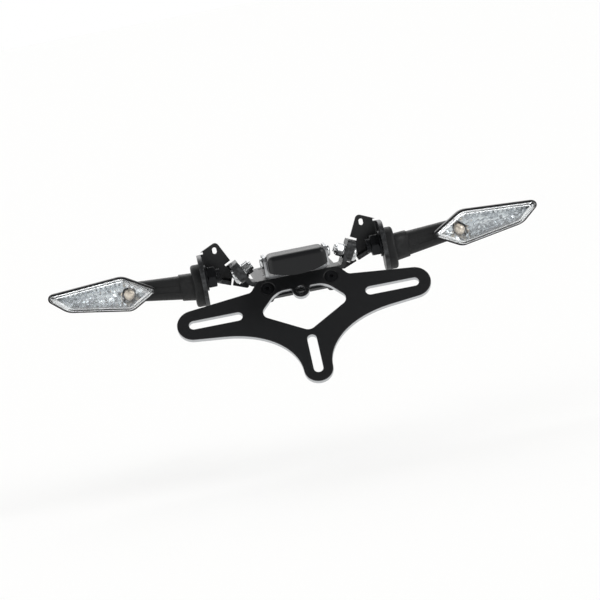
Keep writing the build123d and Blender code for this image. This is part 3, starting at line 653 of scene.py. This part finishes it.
def bolt_tails(bolts, nuts, washers):
    """Where each bolt leaves its nut and which way, then the tails' common length and radius.

    A bolt runs from its washer to its nut, or straight down where the group has no washers.
    """
    shanks = islands(bolts)
    seats = [box_middle(washer) for washer in islands(washers)] if washers else []
    tails = []
    for nut in islands(nuts):
        middle = box_middle(nut)
        axis = Vector((0, 0, -1))
        if seats:
            axis = (middle - min(seats, key=lambda seat: (seat - middle).length)).normalized()
        shank = min(shanks, key=lambda points: min((p - middle).length for p in points))
        start = max((p - middle).dot(axis) for p in nut)
        reach = max((p - middle).dot(axis) for p in shank) - start
        tip = [p - middle for p in shank if (p - middle).dot(axis) > start + reach / 2]
        radius = max((p - axis * p.dot(axis)).length for p in tip)
        tails.append((middle + axis * start, axis))
    return tails, reach, radius


def wind_threads(context, tree, name, pitch, bolts, nuts, washers=None):
    """Threads on the tails of one group of bolts."""
    tails, reach, radius = bolt_tails(bolts, nuts, washers)
    mesh = bpy.data.meshes.new(name)
    mesh.from_pydata([place for place, _ in tails], [], [])
    facing = mesh.attributes.new("facing", "FLOAT_VECTOR", "POINT")
    for item, (_, axis) in zip(facing.data, tails):
        item.vector = axis
    values = {"Radius": radius - THREAD_SINK * pitch, "Length": reach - THREAD_STOP, "Pitch": pitch}
    run_tree(context, link_piece(name, mesh), tree, SLOT_OF_NODE[bolts], values)


# Reflector facets


def facet_tree():
    """Tree that raises each marked face of a slab into a facet with an uneven top."""
    tree, given = start_tree("Reflector facets", "Slab", ("Height", "Taper", "Scatter"))
    marked = add_node(tree, "GeometryNodeInputNamedAttribute", {"Name": "facet"}, data_type="FLOAT")
    share = add_node(
        tree,
        "FunctionNodeRandomValue",
        {2: FACET_LOW, 3: FACET_HIGH, "Seed": FACET_SEED},
        data_type="FLOAT",
    )
    rise = add_node(
        tree, "ShaderNodeMath", {0: share.outputs[1], 1: given.outputs["Height"]}, operation="MULTIPLY"
    )
    raised = add_node(
        tree,
        "GeometryNodeExtrudeMesh",
        {
            "Mesh": given.outputs["Slab"],
            "Selection": marked.outputs["Attribute"],
            "Offset Scale": rise.outputs["Value"],
            "Individual": True,
        },
        mode="FACES",
    )
    tapered = add_node(
        tree,
        "GeometryNodeScaleElements",
        {
            "Geometry": raised.outputs["Mesh"],
            "Selection": raised.outputs["Top"],
            "Scale": given.outputs["Taper"],
        },
        domain="FACE",
    )
    least = add_node(tree, "ShaderNodeMath", {0: given.outputs["Scatter"], 1: -1.0}, operation="MULTIPLY")
    shift = add_node(
        tree,
        "FunctionNodeRandomValue",
        {0: least.outputs["Value"], 1: given.outputs["Scatter"], "Seed": FACET_SEED},
        data_type="FLOAT_VECTOR",
    )
    scattered = add_node(
        tree,
        "GeometryNodeSetPosition",
        {
            "Geometry": tapered.outputs["Geometry"],
            "Selection": raised.outputs["Top"],
            "Offset": shift.outputs[0],
        },
    )
    flat = add_node(
        tree,
        "GeometryNodeSetShadeSmooth",
        {"Geometry": scattered.outputs["Geometry"], "Shade Smooth": False},
    )
    end_tree(tree, given, flat.outputs["Geometry"])
    return tree


def dish_opening(node):
    """A dish's opening seen from behind: for each column its x and the z where the opening starts and ends.

    Also a function that gives the dish's depth below its rim at a place.
    """
    mesh = frame["nodes"][node].data
    tree = BVHTree.FromPolygons([v.co for v in mesh.vertices], [p.vertices for p in mesh.polygons])
    low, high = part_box(node)
    behind = low.y - RAY_START
    ahead = Vector((0, 1, 0))

    def depth(x, z):
        hit = tree.ray_cast(Vector((x, behind, z)), ahead)[0]
        return 0.0 if hit is None else hit.y - low.y

    across = [low.x + (i + 0.5) * OPENING_STEP for i in range(int((high.x - low.x) / OPENING_STEP))]
    upwards = [low.z + (j + 0.5) * OPENING_STEP for j in range(int((high.z - low.z) / OPENING_STEP))]
    columns = []
    for x in across:
        inside = [z for z in upwards if depth(x, z) > OPENING_DEPTH]
        if inside:
            columns.append((x, inside[0], inside[-1]))
    return columns, depth


def slab_grid(node, middle, well, sizes):
    """Points across a dish by column and row, bowed below its rim, then the number of columns and rows.

    Points near the edge of the well round the bulb's middle are moved onto it.
    """
    opening, depth = dish_opening(node)
    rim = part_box(node)[0].y
    tallest = max(top - bottom for _, bottom, top in opening)
    opening = [column for column in opening if column[2] - column[1] > sizes.facet_pitch]
    columns = round((opening[-1][0] - opening[0][0]) / sizes.facet_pitch)
    rows = round(tallest / sizes.facet_pitch)
    points = {}
    for i in range(columns + 1):
        x, bottom, top = opening[round(i * (len(opening) - 1) / columns)]
        for j in range(rows + 1):
            share = j / rows
            z = bottom + (top - bottom) * share
            place = Vector((x - middle.x, 0, z - middle.z))
            if well * WELL_INNER < place.length < well * WELL_OUTER:
                place *= well / place.length
            x_there, z_there = middle.x + place.x, middle.z + place.z
            bowl = sizes.bowl_depth * (1 - (2 * share - 1) ** BOWL_POWER)
            sunk = min(bowl, BOWL_SHARE * depth(x_there, z_there))
            points[i, j] = x_there, rim + sunk, z_there
    return points, columns, rows


def cell_corners(i, j):
    """The four corners of a cell of the slab's grid, in turn."""
    return (i, j), (i + 1, j), (i + 1, j + 1), (i, j + 1)


def cell_neighbours(i, j):
    """The cells across the four sides of a cell, in the order of its corners."""
    return (i, j - 1), (i + 1, j), (i, j + 1), (i - 1, j)


def facet_slab(node, bulb, sizes):
    """Thin slab across a dish, in cells that follow its outline, open round the bulb.

    All cells but those on the bulb's inner side are marked to become facets.
    """
    low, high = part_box(bulb)
    middle = (low + high) / 2
    well = (high.x - low.x) / 2 + BULB_CLEARANCE
    outwards = 1 if middle.x > 0 else -1
    points, columns, rows = slab_grid(node, middle, well, sizes)
    shape = bmesh.new()
    mark = shape.faces.layers.float.new("facet")
    front, back = {}, {}
    for key, (x, y, z) in points.items():
        front[key] = shape.verts.new((x, y, z))
        back[key] = shape.verts.new((x, y + SLAB_THICKNESS, z))
    kept = set()
    for cell in product(range(columns), range(rows)):
        corners = [front[key].co for key in cell_corners(*cell)]
        centre = sum(corners, Vector()) / len(corners) - middle
        if Vector((centre.x, centre.z)).length > well:
            kept.add(cell)
    for cell in kept:
        ring = cell_corners(*cell)
        face = shape.faces.new([front[key] for key in ring])
        beyond = (face.calc_center_median().x - middle.x) * outwards
        face[mark] = float(beyond > -well)
        shape.faces.new([back[key] for key in reversed(ring)])
        for a, b, neighbour in zip(ring, ring[1:] + ring[:1], cell_neighbours(*cell)):
            if neighbour not in kept:
                shape.faces.new([front[b], front[a], back[a], back[b]])
    loose = [vert for vert in shape.verts if not vert.link_faces]
    bmesh.ops.delete(shape, geom=loose, context="VERTS")
    bmesh.ops.recalc_face_normals(shape, faces=shape.faces)
    return shape


# Studio


def highest(tree, node, *outputs):
    """Socket with the largest of a node's outputs."""
    top = node.outputs[outputs[0]]
    for name in outputs[1:]:
        larger = add_node(tree, "ShaderNodeMath", {0: top, 1: node.outputs[name]}, operation="MAXIMUM")
        top = larger.outputs["Value"]
    return top


def lay_floor(context, height):
    """Wide pale floor that keeps the part's shadow and reads as white beside it."""
    mesh = bpy.data.meshes.new("studio_floor")
    corners = [
        (x * FLOOR_REACH, y * FLOOR_REACH, height) for x, y in ((-1, -1), (1, -1), (1, 1), (-1, 1))
    ]
    mesh.from_pydata(corners, [], [(0, 1, 2, 3)])
    floor = link_piece("studio_floor", mesh)
    tone = (*context.scene.tail_tidy.colours.floor, 1)
    material, tree, shader = surface("floor_paint", {"Base Color": tone, "Roughness": 0.9})
    glow = add_node(tree, "ShaderNodeEmission", {"Color": (1, 1, 1, 1), "Strength": 1.0})
    path = add_node(tree, "ShaderNodeLightPath")
    seen = highest(tree, path, "Is Camera Ray", "Is Glossy Ray", "Is Transmission Ray")
    share = add_node(tree, "ShaderNodeMath", {0: seen, 1: FLOOR_WHITE}, operation="MULTIPLY")
    mixed = add_node(
        tree,
        "ShaderNodeMixShader",
        {"Fac": share.outputs["Value"], 1: shader.outputs["BSDF"], 2: glow.outputs["Emission"]},
    )
    tree.links.new(mixed.outputs["Shader"], tree.nodes["Material Output"].inputs["Surface"])
    mesh.materials.append(material)


def light_world(context):
    """White studio, dimmer as a light, and in metal and glass dimmer overhead and on the camera's side."""
    world = bpy.data.worlds.new("studio_world")
    context.scene.world = world
    world.use_nodes = True
    tree = world.node_tree
    place = add_node(tree, "ShaderNodeTexCoord")
    axes = add_node(tree, "ShaderNodeSeparateXYZ", {"Vector": place.outputs["Generated"]})
    ceiling, near_side = (
        add_node(
            tree,
            "ShaderNodeMapRange",
            {"Value": axes.outputs[axis], **fade},
            interpolation_type="SMOOTHSTEP",
        )
        for axis, fade in (("Z", CEILING_FADE), ("Y", NEAR_SIDE_FADE))
    )
    shown = add_node(
        tree,
        "ShaderNodeMath",
        {0: ceiling.outputs["Result"], 1: near_side.outputs["Result"]},
        operation="MULTIPLY",
    )
    path = add_node(tree, "ShaderNodeLightPath")
    mirrored = highest(tree, path, "Is Glossy Ray", "Is Transmission Ray")
    unseen = add_node(tree, "ShaderNodeMix", {0: mirrored, 2: WORLD_LIGHT, 3: shown.outputs["Value"]})
    strength = add_node(
        tree,
        "ShaderNodeMath",
        {0: unseen.outputs["Result"], 1: path.outputs["Is Camera Ray"]},
        operation="MAXIMUM",
    )
    background = tree.nodes["Background"]
    background.inputs["Color"].default_value = (1, 1, 1, 1)
    tree.links.new(strength.outputs["Value"], background.inputs["Strength"])


def hang_light(name, source, width, strength):
    """Distant soft light of a given width in the sky, shining from its source's direction."""
    data = bpy.data.lights.new(name, "SUN")
    data.angle = width
    data.energy = strength
    lamp = link_piece(name, data)
    lamp.rotation_mode = "QUATERNION"
    lamp.rotation_quaternion = source.to_track_quat("Z", "Y")


def place_camera(context, target):
    """Camera at the viewing angle, leaning to its right."""
    studio = context.scene.tail_tidy.studio
    flat = cos(studio.elevation)
    back = Vector((sin(studio.azimuth) * flat, -cos(studio.azimuth) * flat, sin(studio.elevation)))
    data = bpy.data.cameras.new("studio_camera")
    data.sensor_width = SENSOR_WIDTH
    data.lens = studio.focal
    camera = link_piece("studio_camera", data)
    camera.location = target + back * studio.distance
    camera.rotation_mode = "QUATERNION"
    level = (-back).to_track_quat("-Z", "Y")
    camera.rotation_quaternion = level @ Quaternion((0, 0, 1), -studio.roll)
    context.scene.camera = camera


# Operators, one for each group of pieces and one for the stage


class TAIL_TIDY_OT_brackets(Operator):
    """Powder-coats the folded and cut sheets"""

    bl_idname = "tail_tidy.brackets"
    bl_label = "Coat the brackets"

    def execute(self, context):
        sizes = context.scene.tail_tidy.sizes
        finished(context, "plate_carrier", sizes.carrier_edge, "cut_edge")
        finished(context, "main_bracket", sizes.coat_edge, "rubbed_edge", sizes.bracket_sheet)
        finished(context, "light_bracket", sizes.coat_edge, "cut_edge", sizes.light_sheet)
        for side in SIDES:
            node = f"indicator_bracket_{side}"
            finished(context, node, sizes.coat_edge, "rubbed_edge", sizes.bracket_sheet)
        return {"FINISHED"}


class TAIL_TIDY_OT_fasteners(Operator):
    """Finishes bolts, nuts, washers, screws and stems"""

    bl_idname = "tail_tidy.fasteners"
    bl_label = "Finish the fasteners"

    def execute(self, context):
        edge = context.scene.tail_tidy.sizes.fastener_edge
        for group in ("wing", "carrier"):
            for kind in ("bolts", "washers", "nuts"):
                finished(context, f"{group}_{kind}", edge)
        for node in ("light_bracket_bolts", "light_bracket_nuts", "plate_light_screws"):
            finished(context, node, edge)
        for side in SIDES:
            for kind in ("stem", "washer", "nut"):
                finished(context, f"indicator_{kind}_{side}", edge)
        return {"FINISHED"}


class TAIL_TIDY_OT_threads(Operator):
    """Winds the thread on the bolt and stem ends that show past their nuts"""

    bl_idname = "tail_tidy.threads"
    bl_label = "Cut the threads"

    def execute(self, context):
        sizes = context.scene.tail_tidy.sizes
        tree = thread_tree()
        for group in ("wing", "carrier"):
            nodes = [f"{group}_{kind}" for kind in ("bolts", "nuts", "washers")]
            wind_threads(context, tree, f"{group}_threads", sizes.bolt_pitch, *nodes)
        nodes = ["light_bracket_bolts", "light_bracket_nuts"]
        wind_threads(context, tree, "light_bracket_threads", sizes.bolt_pitch, *nodes)
        for side in SIDES:
            nodes = [f"indicator_{kind}_{side}" for kind in ("stem", "nut", "washer")]
            wind_threads(context, tree, f"indicator_threads_{side}", sizes.stem_pitch, *nodes)
        return {"FINISHED"}


class TAIL_TIDY_OT_plate_light(Operator):
    """Finishes the plate light's housing, lens, board and LEDs"""

    bl_idname = "tail_tidy.plate_light"
    bl_label = "Finish the plate light"

    def execute(self, context):
        sizes = context.scene.tail_tidy.sizes
        finished(context, "plate_light_housing", sizes.moulded_edge)
        finished(context, "plate_light_lens")
        finished(context, "plate_light_board")
        finished(context, "plate_light_leds", sizes.led_edge)
        return {"FINISHED"}


class TAIL_TIDY_OT_indicators(Operator):
    """Finishes stalks, housings, seals, reflectors, bulbs and lenses of both indicators"""

    bl_idname = "tail_tidy.indicators"
    bl_label = "Finish the indicators"

    def execute(self, context):
        for side in SIDES:
            for kind in ("stalk", "housing", "seal", "reflector", "bulb_holder", "bulb", "lens"):
                finished(context, f"indicator_{kind}_{side}")
        return {"FINISHED"}


class TAIL_TIDY_OT_reflector_facets(Operator):
    """Fills both reflectors with facets"""

    bl_idname = "tail_tidy.reflector_facets"
    bl_label = "Facet the reflectors"

    def execute(self, context):
        sizes = context.scene.tail_tidy.sizes
        tree = facet_tree()
        values = {"Height": sizes.facet_height, "Taper": FACET_TAPER, "Scatter": sizes.facet_scatter}
        for side in SIDES:
            shape = facet_slab(f"indicator_reflector_{side}", f"indicator_bulb_{side}", sizes)
            mesh = bpy.data.meshes.new(f"reflector_facets_{side}")
            shape.to_mesh(mesh)
            shape.free()
            piece = link_piece(f"reflector_facets_{side}", mesh)
            run_tree(context, piece, tree, "silvered_reflector", values)
        return {"FINISHED"}


class TAIL_TIDY_OT_stage(Operator):
    """Sets the floor, the lights, the world and the camera"""

    bl_idname = "tail_tidy.stage"
    bl_label = "Set the stage"

    def execute(self, context):
        low, high = CAD_BOX
        lay_floor(context, low.z - context.scene.tail_tidy.studio.drop)
        light_world(context)
        for name, source, width, strength in LIGHTS:
            hang_light(name, Vector(source), radians(width), strength)
        place_camera(context, (low + high) / 2)
        context.scene.view_settings.view_transform = "Standard"
        return {"FINISHED"}


OPERATORS = (
    TAIL_TIDY_OT_brackets,
    TAIL_TIDY_OT_fasteners,
    TAIL_TIDY_OT_threads,
    TAIL_TIDY_OT_plate_light,
    TAIL_TIDY_OT_indicators,
    TAIL_TIDY_OT_reflector_facets,
    TAIL_TIDY_OT_stage,
)


class TAIL_TIDY_PT_sidebar(Panel):
    """Settings and operators of the tail tidy in the sidebar of the 3D view"""

    bl_idname = "TAIL_TIDY_PT_sidebar"
    bl_label = "Tail Tidy"
    bl_space_type = "VIEW_3D"
    bl_region_type = "UI"
    bl_category = "Tail Tidy"

    def draw(self, context):
        settings = context.scene.tail_tidy
        for group in (settings.sizes, settings.colours, settings.studio):
            box = self.layout.box()
            for name in group.__annotations__:
                box.prop(group, name)
        for operator in OPERATORS:
            self.layout.operator(operator.bl_idname)


GROUPS = (TailTidySizes, TailTidyColours, TailTidyStudio, TailTidySettings)
CLASSES = (*GROUPS, *OPERATORS, TAIL_TIDY_PT_sidebar)


def register():
    """Adds the classes and the settings."""
    for kind in CLASSES:
        bpy.utils.register_class(kind)
    bpy.types.Scene.tail_tidy = PointerProperty(type=TailTidySettings)


def unregister():
    """Takes the settings and the classes away again."""
    del bpy.types.Scene.tail_tidy
    for kind in reversed(CLASSES):
        bpy.utils.unregister_class(kind)


def main():
    """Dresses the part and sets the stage."""
    register()
    bpy.ops.tail_tidy.brackets()
    bpy.ops.tail_tidy.fasteners()
    bpy.ops.tail_tidy.threads()
    bpy.ops.tail_tidy.plate_light()
    bpy.ops.tail_tidy.indicators()
    bpy.ops.tail_tidy.reflector_facets()
    bpy.ops.tail_tidy.stage()
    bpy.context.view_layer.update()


if __name__ == "__main__":
    main()
